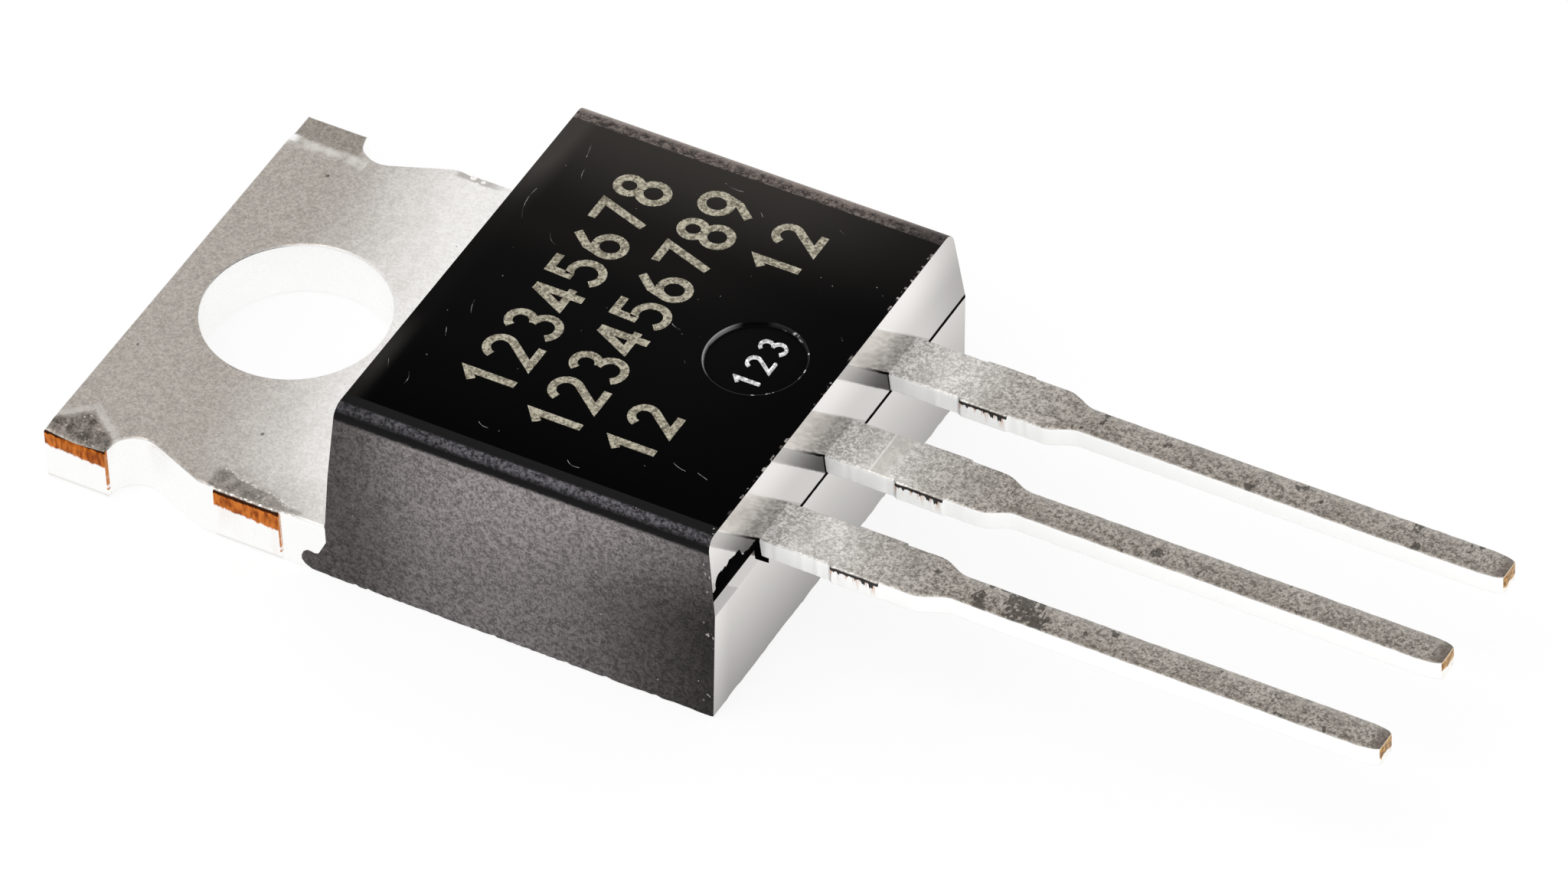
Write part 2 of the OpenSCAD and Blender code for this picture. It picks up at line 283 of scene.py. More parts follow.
class Finish:
    """A material under way: its tree, its principled shader, and places in millimetres."""

    def __init__(self, name, fixed):
        self.material = bpy.data.materials.new(name)
        self.material.use_nodes = True
        self.tree = self.material.node_tree
        self.tree.nodes.clear()
        self.shader = self.tree.nodes.new("ShaderNodeBsdfPrincipled")
        for socket, value in fixed.items():
            self.shader.inputs[socket].default_value = value
        self.output = self.tree.nodes.new("ShaderNodeOutputMaterial")
        self.tree.links.new(self.shader.outputs[0], self.output.inputs["Surface"])
        place = self.add("TexCoord", {}, "Object")
        self.place = self.add("Mapping", {"Vector": place, "Scale": (1 / MM, 1 / MM, 1 / MM)})
        self.x, self.y, self.z = (self.part(self.place, axis) for axis in "XYZ")

    def add(self, kind, sockets, output=0, **settings):
        """Adds a node: its type, the values or links of its sockets, the output that is
        wanted, and its settings."""
        node = self.tree.nodes.new("ShaderNode" + kind)
        for key, value in settings.items():
            setattr(node, key, value)
        for key, value in sockets.items():
            self.feed(node, key, value)
        found = [socket for socket in node.outputs if output in (socket.name, socket.identifier)]
        return Level(self, found[0] if found else node.outputs[0])

    def feed(self, node, key, value):
        """Links a level to a node's socket, or sets the socket's own value."""
        socket = [found for found in node.inputs if key in (found.identifier, found.name)][0]
        if isinstance(value, Level):
            self.tree.links.new(value.socket, socket)
        else:
            socket.default_value = value

    def part(self, vector, axis):
        """One component of a vector."""
        return self.add("SeparateXYZ", {"Vector": vector}, axis)

    def facing(self, axis, normal="Normal"):
        """One component of the direction that the surface faces."""
        return self.part(self.add("NewGeometry", {}, normal), axis)

    def noise(self, scale, detail=2, stretch=(1, 1, 1), roughness=0.5):
        """Noise from 0 to 1, with so many waves to the millimetre along each axis."""
        place = self.add("Mapping", {"Vector": self.place, "Scale": stretch})
        sockets = {"Vector": place, "Scale": scale, "Detail": detail, "Roughness": roughness}
        return self.add("TexNoise", sockets)

    def spot(self, x, y, radius):
        """1 inside a round spot at a place in plan, in millimetres."""
        away_x, away_y = self.x - x, self.y - y
        return away_x * away_x + away_y * away_y < radius ** 2

    def mix(self, share, first, second):
        """Colour between the first and the second, by a share from 0 to 1. A colour of three
        numbers is the value that shows on a screen, 0 to 255."""
        sockets = {"Factor_Float": share, "A_Color": first, "B_Color": second}
        for key, tone in sockets.items():
            if isinstance(tone, tuple) and len(tone) == 3:
                sockets[key] = srgb(*tone)
        return self.add("Mix", sockets, "Result_Color", data_type="RGBA")

    def layers(self, color, *laid):
        """A colour with others laid over it in turn, each of them after its share."""
        for share, tone in laid:
            color = self.mix(share, color, tone)
        return color

    def cover(self, share, other):
        """Shows another shader instead of the principled one, by a share from 0 to 1."""
        mixed = self.add("MixShader", {"Fac": share}).socket
        self.tree.links.new(self.shader.outputs[0], mixed.node.inputs[1])
        self.tree.links.new(other.socket, mixed.node.inputs[2])
        self.tree.links.new(mixed, self.output.inputs["Surface"])

    def finish(self, color, roughness=None, metallic=None, height=None, bump=0.5, depth=0.01):
        """Feeds the shader's sockets. A height is in units of the depth, in millimetres."""
        for key, value in (("Base Color", color), ("Roughness", roughness), ("Metallic", metallic)):
            if value:
                self.feed(self.shader, key, value)
        if height:
            sockets = {"Height": height, "Strength": bump, "Distance": depth * MM}
            self.feed(self.shader, "Normal", self.add("Bump", sockets))
        return self.material


def srgb(red, green, blue):
    """Linear colour of a value as it shows on a screen, 0 to 255."""
    screen = np.array([red, green, blue]) / 255
    linear = np.where(screen <= 0.04045, screen / 12.92, ((screen + 0.055) / 1.055) ** 2.4)
    return (*linear.tolist(), 1)


def tab_plating():
    """Dull tin over copper: a sandy top with a painted pool of light towards the moulding, scuffed
    shear marks at the ears and ties with painted shade on their sloping faces and painted highlights
    along their creases and on burrs, and cut faces painted near white as glare, with a band of bare
    copper at the top of each and a painted shadow along the bottom."""
    tin = Finish("tab_plating", {"Metallic": 1, "Roughness": 0.42})
    x, y, z = tin.x, tin.y, tin.z
    upward = tin.facing("Z")
    sideways = abs(tin.facing("Y")) > 0.7
    top = abs(upward).ramp(0.5, 0.85)
    cloud = tin.noise(0.9, 3)
    grain = tin.noise(9, 4, roughness=0.65)
    fine = tin.noise(20, 3, roughness=0.7)
    sand = (grain * 0.35 + fine * 0.65).ramp(0.36, 0.64)
    worn = tin.mix(sand, (161, 154, 147), (199, 192, 185))
    bright_tin = tin.mix(sand, (238, 235, 231), (255, 254, 252))
    near, side = y < 0, abs(y)
    far = 1 - near
    # Painted light: the top is painted paler towards the moulding, as a pool of light.
    glow_towards_body = (x + y * 0.19 + cloud * 1.2 - 0.6).ramp(-0.8, 2.6)
    wander = tin.noise(1.9, 3) * 0.5 - 0.25
    peak = abs(x - ear_dip_x) * 0.8 + 4.14
    near_ear = (side - peak + wander * 0.6).ramp(-0.05, 0.14) * (x < -1.12) * near
    far_ear = (side + wander * 0.2).ramp(4.34, 4.46) * (x < -1.2) * far
    tie_edge = 4.42 + (x - 0.95) * 0.17
    tie_side = side - tie_edge + wander * 0.7
    tie = tie_side.ramp(-0.04, 0.08) * x.ramp(0.85, 1.0) * x.fall(2.7, 3.2) * near
    # Painted highlights along the creases where the ears' sheared slopes meet the top.
    crease = (side + wander * 0.3 - peak + 0.1).line(0.03, 0.16) * (x < -1.1) * near
    far_crease = (side + wander * 0.5 - 4.22).line(0.05, 0.22) * (x < -0.9)
    far_crease = far_crease * tin.noise(3.1, 3).ramp(0.2, 0.7)
    crease_highlights = crease * 0.28 + far_crease * far * 0.7
    dimmed = (side + wander).ramp(3.4, 5.0) * x.ramp(0.2, 1.4) * near
    dimmed = dimmed * (0.75 - x.ramp(2.0, 3.5) * 0.45)
    shaded = tin.mix(sand, (150, 143, 136), (196, 189, 182))
    scuffs = tin.noise(17, 4, roughness=0.75) * 0.55 + tin.noise(4.5, 3) * 0.45
    # Painted shade on the sloping shear faces, mottled by the scuffs: darker on the near ear and the ties,
    # lighter on the far ear.
    slope_shading = tin.mix(scuffs.ramp(0.38, 0.64), (76, 70, 64), (162, 154, 146))
    dull = tin.mix(sand, (136, 129, 121), (176, 169, 160))
    glint = (side - 4.31).line(0.06, 0.15) * x.fall(-2.62, -2.42) * far
    burr = tie_side.line(0.02, 0.06) * tie.ramp(0, 0.1) * fine.ramp(0.5, 0.6)
    # A painted shadow beside a burr on the far tie's edge, and painted highlights on the burr.
    far_burr_shadow = (side + wander * 0.3).ramp(4.76, 4.84) * x.ramp(0.75, 0.9) * x.fall(1.5, 2.0)
    burr_glints = tin.spot(1.16, 4.9, 0.07) + tin.spot(1.4, 4.87, 0.05) + tin.spot(1.3, 4.78, 0.03)
    pits = tin.spot(-1.43, 3.63, 0.045) + tin.spot(1.18, -3.27, 0.04) + tin.spot(-2.28, -2.2, 0.03)
    specks = (tin.noise(15, 2) > 0.68) * near_ear.math("MAXIMUM", tie) * 0.5
    dots = (tin.noise(5.5, 1) > 0.8) * 0.6
    rim = (side > 4.93) * (x > 1) * (x < 3.5) * tin.noise(12, 2).ramp(0.52, 0.6)
    topside = tin.layers(
        tin.mix(glow_towards_body, worn, bright_tin),
        (crease_highlights, (232, 229, 224)),
        (dimmed, shaded),
        (far_ear, dull),
        (near_ear.math("MAXIMUM", tie * 0.72) * 0.95, slope_shading),
        (glint, (255, 254, 252)),
        (far_burr_shadow * far * 0.55, (136, 128, 120)),
        (burr_glints.math("MINIMUM", 1), (252, 250, 248)),
        (pits * 0.7, (70, 64, 58)),
        (burr * 0.8 + specks, (240, 236, 230)),
        (dots, (104, 96, 88)),
        (rim * 0.8, (250, 246, 240)),
    )
    edge = (side > 4.965) * (x < body_x - 0.3)
    cut = edge * sideways
    smear = tin.noise(2.6, 3, (1, 1, 0.3)).ramp(0.5, 0.8) * cut * 0.35
    # Painted glare: below their copper band the cut faces, bare copper too, are painted near white, with a
    # faint warm smear.
    cut_face_glare = tin.mix(smear, (255, 255, 254), (240, 220, 206))
    ragged = tin.noise(5, 4, (1, 0.2, 0.25), 0.7) * 0.24
    slope = x + 2.7 - (x > 0) * 3.6
    band = (z + ragged + slope * 0.06).ramp(header_t - 0.34, header_t - 0.28) * cut
    streaks = tin.noise(11, 3, (1, 1, 0.3)) + (x > 0) * 0.06
    copper = tin.mix(streaks.ramp(0.35, 0.7), (138, 62, 8), (214, 122, 46))
    # A painted shadow along the lower edge of the cut faces.
    low_edge_shadow = z.fall(0.02, 0.12) * cut * 0.45
    runs = (x + 1.33).line(0.012, 0.03) + (x - 2.54).line(0.012, 0.03)
    runs = runs * (z > 0.2) * near * edge * tin.noise(5, 2, (0, 0, 1)).ramp(0.3, 0.5)
    lip = (z + tin.noise(9, 3) * 0.09).ramp(header_t - 0.1, header_t - 0.08) * cut
    cheek = tin.layers(
        cut_face_glare, (band, copper), (low_edge_shadow, (196, 186, 178)), (runs, (196, 122, 62)), (lip, (58, 28, 11)),
    )
    rolled = tin.noise(5, 3, (0.15, 1, 1))
    back = tin.mix(sand * 0.6 + rolled * 0.4, (172, 167, 161), (226, 222, 217))
    color = tin.mix(top, cheek, tin.mix(upward < 0, topside, back))
    rough = 0.42 + (grain - 0.5) * 0.25 - (1 - top) * 0.15
    return tin.finish(color, rough, None, grain * 0.5 + fine * 0.5, 0.3, 0.012)


header.data.materials.append(tab_plating())
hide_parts("header_and_drain_lead")
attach(header, "root")


# Leads: three flat strips of the same copper, stamped with the header and tinned by dipping,
# which leaves a coarse grain. Each is wide beside the moulding, where the dam bar between the
# leads was cut away, and narrow from there to its cropped tip. The middle one is one piece
# with the header, and climbs to the row from the end of its pad.

lead_low, lead_high = (np.array(corner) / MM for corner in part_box("gate_lead"))
lead_bottom, lead_top = lead_low[2], lead_high[2]
lead_tip = lead_high[0]
lead_t = lead_top - lead_bottom
pitch = 2.54
body_end = body_high[0]
shoulder_w = 1.17
lead_w = 0.69
tip_w = 0.45
tip_len = 0.6
taper_start = body_end + 3.25
taper_len = 0.72
dam_start = body_end + 1.49
dam_len = 1.04
dam_out = 0.04
post_start, post_end, post_flare = 10.19, 11.34, 11.84
post_in = shoulder_w / 2 + 0.75
gate_post_w, source_post_w = 1.9, 2.7
bend_foot, bend_top = 9.92, 11.49
corner_r = 0.06
inner_step, taper_step, tip_step = 0.08, 0.03, 0.05

fine_start, fine_end = body_end - 0.1, taper_start + taper_len + 0.3
stations = np.concatenate([
    np.arange(bend_foot - 0.6, fine_start, inner_step),
    np.arange(fine_start, fine_end, taper_step),
    np.arange(fine_end, lead_tip, tip_step),
    [lead_tip],
])


def half_width(x):
    """Half a lead's width: the shoulder, a cosine taper, the narrow part, and a tip that
    draws in as the square of an arcsine. Cut dam bars stand out of the shoulder."""
    taper = np.clip((x - taper_start) / taper_len, 0, 1)
    half = lead_w / 2 + (shoulder_w - lead_w) / 2 * (1 + np.cos(np.pi * taper)) / 2
    tip = np.clip((x - lead_tip + tip_len) / tip_len, 0, 1)
    half = half - (lead_w - tip_w) / 2 * (2 / np.pi * np.arcsin(tip)) ** 2
    dam = np.clip(np.minimum(x - dam_start, dam_start + dam_len - x) / 0.03 + 0.5, 0, 1)
    return half + dam_out * dam


def lead(name, side, post_w, seed):
    """A rounded strip carried along X: its edges follow the half width, with a little of
    the ripple that stamping and tinning leave, and inside the moulding its bond post."""
    x = stations if side == 0 else stations[stations >= post_start]
    low = side * pitch - half_width(x) + ripple(x, seed, 0.11, 0.006) + ripple(x, seed + 1, 0.7, 0.006)
    high = side * pitch + half_width(x) + ripple(x, seed + 2, 0.13, 0.005) + ripple(x, seed + 3, 0.9, 0.005)
    rise = np.zeros_like(x)
    if side == 0:
        rise = (header_t - lead_top) * (1 - np.clip((x - bend_foot) / (bend_top - bend_foot), 0, 1))
    else:
        flare = np.clip((x - post_end) / (post_flare - post_end), 0, 1)
        post = side * np.array([[post_in], [post_in + post_w]])
        shoulder = side * np.array([[pitch - shoulder_w / 2], [pitch + shoulder_w / 2]])
        edges = np.sort(post + (shoulder - post) * flare, 0)
        low, high = np.where(flare < 1, edges, [low, high])
    middle, half = (low + high) / 2, (high - low) / 2
    corner_turn = np.arange(0, 91, 22.5)
    turn = np.radians(np.concatenate([corner_turn + 90 * quarter for quarter in range(4)]))
    away_y, away_z = np.repeat([[1, -1, -1, 1], [1, 1, -1, -1]], len(corner_turn), 1)
    y = middle[:, None] + away_y * (half[:, None] - corner_r) + corner_r * np.cos(turn)
    z = lead_top - lead_t / 2 + away_z * (lead_t / 2 - corner_r) + corner_r * np.sin(turn)
    rings = capped(np.stack([np.broadcast_to(x[:, None], y.shape), y, z + rise[:, None]], -1))
    piece = build(name, rings.reshape(-1, 3), tube_faces(len(rings), len(turn)))
    piece.data.materials.append(lead_tin)
    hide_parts({-1: "gate_lead", 0: "header_and_drain_lead", 1: "source_lead"}[side])
    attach(piece, "root")
    return piece


def dipped_tin():
    """Tin that set with a coarse salt-and-pepper grain on the broad faces, cleanest a little way out
    of the moulding, with the sheared edges painted near white as glare. The cropped tip is bare
    copper, painted near white as glare low down, and where the dam bar was cut there are streaks of
    copper under a painted shadow line with torn teeth."""
    tin = Finish("dipped_tin", {"Metallic": 1, "Roughness": 0.45})
    x, y, z = tin.x, tin.y, tin.z
    top = abs(tin.facing("Z")).ramp(0.45, 0.85)
    grain = tin.noise(11, 3, roughness=0.7)
    fine = tin.noise(24, 1)
    salt = (grain * 0.6 + fine * 0.4).ramp(0.35, 0.65)
    dull = tin.mix(salt, (106, 99, 92), (196, 189, 181))
    bright_tin = tin.mix(salt, (198, 193, 187), (255, 253, 250))
    along = x + tin.noise(1.1, 2) * 0.8
    further_out = along.ramp(13.6, 14.9) * 0.65 + along.ramp(14.6, 16.6) * 0.35
    coarse = tin.noise(16, 3, roughness=0.75).ramp(0.42, 0.6)
    near_body = x.fall(12.4, 13.3)
    coarse = tin.mix(coarse, (150, 145, 140), (250, 248, 245))
    across = y.every(pitch)
    narrow = x.ramp(taper_start + 0.3, taper_start + taper_len)
    far_half = across.ramp(0.02, 0.42) * narrow * 0.4
    near_half = across.fall(-0.36, -0.02) * narrow * 0.3
    root = x.fall(12.2, 12.4) * (tin.noise(14, 3) > 0.56)
    middle = abs(y) < 0.7
    scrape_x = 13.1
    scrape = (x > scrape_x) * x.fall(13.35, 13.6) * middle
    scrape_line = (x - scrape_x).line(0.01, 0.035) * middle
    cloud = tin.noise(1.3, 2).ramp(0.4, 0.75) * 0.25
    outer = (y < -1.8) * x.ramp(16.4, 16.7) * x.fall(17.8, 18.4)
    stain = (tin.noise(2.3, 3, (1, 0.7, 1)) + outer * 0.16 > 0.66) * (tin.noise(9, 2) > 0.4) * 0.75
    topside = tin.layers(
        tin.mix(further_out, bright_tin, dull),
        (near_body * 0.7, coarse),
        (far_half, (222, 217, 211)),
        (near_half, (104, 98, 91)),
        (root * 0.8, (250, 248, 245)),
        (scrape * 0.65, (216, 212, 206)),
        (scrape_line, (246, 244, 240)),
        (cloud, (120, 113, 106)),
        (stain * (x > 15.5), (68, 63, 58)),
        (x.ramp(lead_tip - 0.32, lead_tip - 0.1) * 0.6, (96, 86, 78)),
    )
    # The sheared edges are painted near white as glare.
    edge = tin.mix(tin.noise(8, 3).ramp(0.62, 0.8) * 0.15, (255, 255, 254), (214, 206, 198))
    cut = (x > dam_start) * (x < dam_start + dam_len)
    # A painted shadow line with torn teeth along the top of each dam bar's cut.
    tooth = tin.noise(6, 2, (1, 0, 0)).ramp(0.5, 0.62) * 0.14 + tin.noise(14, 2, (1, 0, 0.3)) * 0.06
    dam_cut_shadow = (z - lead_top + 0.05 + tooth > 0) * cut
    streak = tin.noise(9, 2, (1, 0, 0.15)).ramp(0.5, 0.6) * z.ramp(lead_bottom + 0.02, lead_top) * cut
    edge = tin.layers(edge, (streak * 0.85, (202, 150, 108)), (dam_cut_shadow, (20, 12, 9)))
    gold = tin.mix(tin.noise(12, 3).ramp(0.35, 0.65), (118, 76, 22), (204, 152, 66))
    # The cropped tip is painted near white as glare below its bare copper.
    cropped = (tin.facing("X") > 0.7) * (x > lead_tip - 0.1)
    bare = (z + tin.noise(6, 3) * 0.3 - tin.noise(1.5, 1) * 0.2 > lead_bottom + 0.21) * cropped
    crest = (z > lead_top - corner_r * 0.6) * cropped * 0.8
    color = tin.mix(top, edge, topside)
    color = tin.layers(color, (cropped, (253, 250, 244)), (bare, gold), (crest, (236, 214, 180)))
    rough = 0.36 + top * 0.14 + (grain - 0.5) * 0.3
    height = (grain * 0.55 + fine * 0.45) * (top * 0.9 + 0.1)
    metallic = (top * 0.8 + 0.2) * (1 - near_body * 0.5)
    return tin.finish(color, rough, metallic, height, 0.6, 0.012)


lead_tin = dipped_tin()
lead("gate_lead_tinned", -1, gate_post_w, 11)
lead("drain_lead_tinned", 0, 0, 21)
lead("source_lead_tinned", 1, source_post_w, 31)


# Die, solder and bond wires: a square of silicon soldered to the pad, and aluminium wires
# pressed on to it and on to the bond posts. The moulding hides them, so they keep their CAD
# shapes, with the grey sheen of polished silicon, the cooled solder and drawn wire.

def inner_finish(name, dark, light, scale, metallic, roughness):
    """Two close tones in a fine noise, which also varies the roughness."""
    metal = Finish(name, {"Metallic": metallic, "Roughness": roughness})
    tone = metal.noise(scale, 3)
    rough = roughness + (tone - 0.5) * 0.2
    return metal.finish(metal.mix(tone.ramp(0.35, 0.65), dark, light), rough, None, tone, 0.2, 0.005)


silicon = inner_finish("silicon", (62, 64, 74), (84, 86, 96), 3, 0.6, 0.22)
solder = inner_finish("solder", (150, 150, 154), (186, 186, 188), 6, 1, 0.4)
wire = inner_finish("bond_wire", (206, 206, 208), (226, 226, 228), 20, 1, 0.3)
inner = {"silicon_die": silicon, "die_solder": solder, "gate_wire": wire}
inner.update({f"source_wire_{number}": wire for number in (1, 2, 3)})
for node, material in inner.items():
    mesh = frame["nodes"][node].data
    mesh.materials.clear()
    mesh.materials.append(material)


# Moulding: black epoxy, pressed round the header and leads in a two-part mould. The marked
# face and both ends are polished, the long sides and their rounded upper edges are fine
# grained, and both ends lean to the parting line at the leads' underside. A round ejector
# recess in the marked face holds raised cavity numbers.

body_top = body_high[2] - 0.005
body_bottom = 0.012
parting_z = lead_bottom
side_bottom, side_parting, side_top = 4.98, 4.94, 4.79
tab_lean, upper_lean, lower_lean = 0.34, 0.15, 0.14
round_r = 0.28
edge_r = 0.02
chip_h = 0.04
recess_r = 1.0
recess_depth = 0.09
recess_x = body_end - 1.8
recess_half = 1.15
polish_y = 4.34
across_n, patch_n = 36, 21
polished, grained, ends = range(3)

lean = np.arctan((side_parting - side_top) / (body_top - parting_z))
round_y = side_top - round_r * (1 - np.sin(lean)) / np.cos(lean)
round_z = body_top - round_r
arc = np.linspace(lean, np.pi / 2, 9)
levels = np.concatenate([
    [body_bottom, 0.05, 0.12, 0.25, 0.45],
    np.linspace(0.7, parting_z - 0.15, 8),
    [parting_z - 0.05, parting_z, parting_z + 0.05],
    np.linspace(parting_z + 0.2, round_z + round_r * np.sin(lean) - 0.12, 7),
    round_z + round_r * np.sin(arc),
])
half_y = np.interp(levels, [0, parting_z, body_top], [side_bottom, side_parting, side_top])
half_y[-len(arc):] = round_y + round_r * np.cos(arc)
start_x = np.interp(levels, [0, header_t, body_top], [body_x, body_x, body_x + tab_lean])
end_x = np.interp(levels, [0, parting_z, body_top], [body_end - lower_lean, body_end, body_end - upper_lean])

# Shares along and across the block, with lines along the four sides of the recess's patch.
top_start, top_end = start_x[-1], end_x[-1]
top_len = top_end - top_start
patch_lo, patch_hi = recess_x - recess_half - top_start, recess_x + recess_half - top_start
along = np.concatenate([
    np.linspace(0, patch_lo / top_len, 80, endpoint=False),
    np.linspace(patch_lo, patch_hi, patch_n) / top_len,
    np.linspace(patch_hi / top_len, 1, 9)[1:],
])
across = np.concatenate([
    np.linspace(-1, -recess_half / round_y, across_n, endpoint=False),
    np.linspace(-recess_half, recess_half, patch_n) / round_y,
    np.linspace(recess_half / round_y, 1, across_n + 1)[1:],
])
I, J, K = len(across), len(levels), len(along)
lattice = np.zeros((I, J, K, 3))
lattice[..., 0] = start_x[:, None] + along * (end_x - start_x)[:, None]
lattice[..., 1] = across[:, None, None] * half_y[:, None]
lattice[..., 2] = levels[:, None]

# Chipped lower edges, where flash broke off: the lowest rows rise and draw in a little.
chips = np.random.default_rng(5)
for row_end in (0, -1):
    nick = np.abs(ripple(np.arange(K) * 0.09, 51 + row_end, 0.12, 0.022))
    nick += chip_h * (chips.random(K) > 0.95)
    lattice[row_end, 0, :, 2] += nick
    lattice[row_end, 0, :, 1] *= 1 - nick * 0.006
nick = np.abs(ripple(np.arange(I) * 0.1, 61, 0.13, 0.02))
lattice[:, 0, -1, 2] += nick
lattice[:, 0, -1, 0] -= nick * 0.5


def sheet(grid):
    """The quads between the points of a grid, from the points' numbers."""
    return np.stack([grid[:-1, :-1], grid[1:, :-1], grid[1:, 1:], grid[:-1, 1:]], -1)


# The block's skin: bottom, near and far sides, both ends, and the top without the patch.
index = np.arange(I * J * K).reshape(I, J, K)
i0, i1 = (int(np.argmin(np.abs(across - edge / round_y))) for edge in (-recess_half, recess_half))
k0, k1 = (int(np.argmin(np.abs(along - edge / top_len))) for edge in (patch_lo, patch_hi))
keep = np.ones((I - 1, K - 1), bool)
keep[i0:i1, k0:k1] = False
skin = (index[:, 0], index[0], index[-1], index[..., 0], index[..., -1])
faces = [sheet(grid).reshape(-1, 4) for grid in skin]
faces.append(sheet(index[:, -1])[keep])
points = lattice.reshape(-1, 3)

# The recess: rings from the patch's square edge in to the rim, down the wall and to the middle.
square = np.concatenate([
    lattice[i0, -1, k0:k1], lattice[i0:i1, -1, k1],
    lattice[i1, -1, k1:k0:-1], lattice[i1:i0:-1, -1, k0],
])
bearing = np.arctan2(square[:, 1], square[:, 0] - recess_x)
compass = np.stack([np.cos(bearing), np.sin(bearing)], 1)
recess_rings = [square]
circle = compass * (recess_r + 0.05) + [recess_x, 0]
for share in (0.35, 0.7):
    recess_rings.append(header_row(square[:, :2] * (1 - share) + circle * share, body_top))
for radius, drop in (
    (recess_r + 0.05, 0), (recess_r + 0.018, 0), (recess_r + 0.006, 0.004), (recess_r, 0.016),
    (recess_r - 0.006, recess_depth - 0.012), (recess_r - 0.018, recess_depth), (0.8, recess_depth),
    (0.55, recess_depth), (0.3, recess_depth), (0.1, recess_depth), (1e-6, recess_depth),
):
    recess_rings.append(header_row(compass * radius + [recess_x, 0], body_top - drop))
faces.append(tube_faces(len(recess_rings), len(square)) + len(points))
points = np.concatenate([points] + recess_rings)
faces = np.concatenate(faces)
moulding = build("moulding", points, faces, 25)
bevel = moulding.modifiers.new("crisp edges", "BEVEL")
bevel.width = edge_r * MM
bevel.segments = 2
bevel.limit_method = "ANGLE"
bevel.angle_limit = np.radians(45)
bevel.harden_normals = True


def polished_epoxy():
    """Black epoxy off a polished part of the mould: clean and nearly black, with a painted sheen of
    reflected light that grows towards the far edge and the tab, a few specks of dust, bright nicks on
    the rim of the recess with a painted highlight on its tab side, and a pale crumbled edge at the
    lead end."""
    epoxy = Finish("polished_epoxy", {"Specular IOR Level": 0.012, "IOR": 1.5})
    x, y = epoxy.x, epoxy.y
    flow = epoxy.noise(0.6, 3)
    fine = epoxy.noise(30, 2)
    # A painted sheen of reflected light, growing towards the far edge and the tab and fading towards the
    # lead end.
    painted_sheen = (y + 4.2) * 0.017 + (y + flow * 0.5).ramp(2.0, 4.8) * 0.5
    painted_sheen = painted_sheen * (1 - (x + flow * 0.6).ramp(9.2, 12.4) * 0.65)
    painted_sheen = painted_sheen + (x + flow * 0.3).fall(4.1, 4.7) * (y.ramp(1.2, 3.2) * 0.7 + 0.04)
    # A painted highlight near the tab's edge.
    tab_glow = x.fall(4.0, 4.35) * y.fall(-2.9, -1.6)
    painted_sheen = painted_sheen + tab_glow * (0.2 + y.ramp(-4.3, -3.2) * 0.25)
    painted_sheen = painted_sheen + y.ramp(0.3, 1.5) * x.fall(7.5, 10.0) * 0.07
    dust = (epoxy.noise(9, 1) > 0.815) * 0.7
    across_x, across_y = x - recess_x, y
    radius = (across_x * across_x + across_y * across_y).math("SQRT")
    rim = (radius - recess_r - 0.008).line(0.008, 0.026)
    # On the recess's rim: a painted highlight on its tab side, bright nicks towards the lead end, and a
    # faint pale line that is left off its unlit side.
    tabward_glint = (across_x * -1 - across_y * 0.09).ramp(0.6, 0.9) * 0.4
    unlit = (across_y * 0.79 - across_x * 0.62).ramp(0.86, 0.94)
    nicks = epoxy.noise(5, 3).ramp(0.58, 0.66) * (x > recess_x)
    worn = rim * (tabward_glint * epoxy.noise(1.8, 3).ramp(0.36, 0.5) + nicks + 0.035 - unlit * 0.035)
    crumbled = epoxy.noise(8, 4).ramp(0.54, 0.62) * epoxy.noise(1.3, 2).ramp(0.46, 0.6)
    crumbled = crumbled * (x > top_end - 0.06) * 0.75
    color = epoxy.mix(painted_sheen, (1, 1, 2), (59, 56, 53))
    color = epoxy.layers(
        color, (dust, (140, 136, 132)), (worn, (205, 205, 207)), (crumbled, (190, 184, 178)),
    )
    rough = 0.18 + flow * 0.1 + fine * 0.04
    return epoxy.finish(color, rough, None, fine * 0.4 + epoxy.noise(2, 2) * 0.6, 0.05, 0.01)


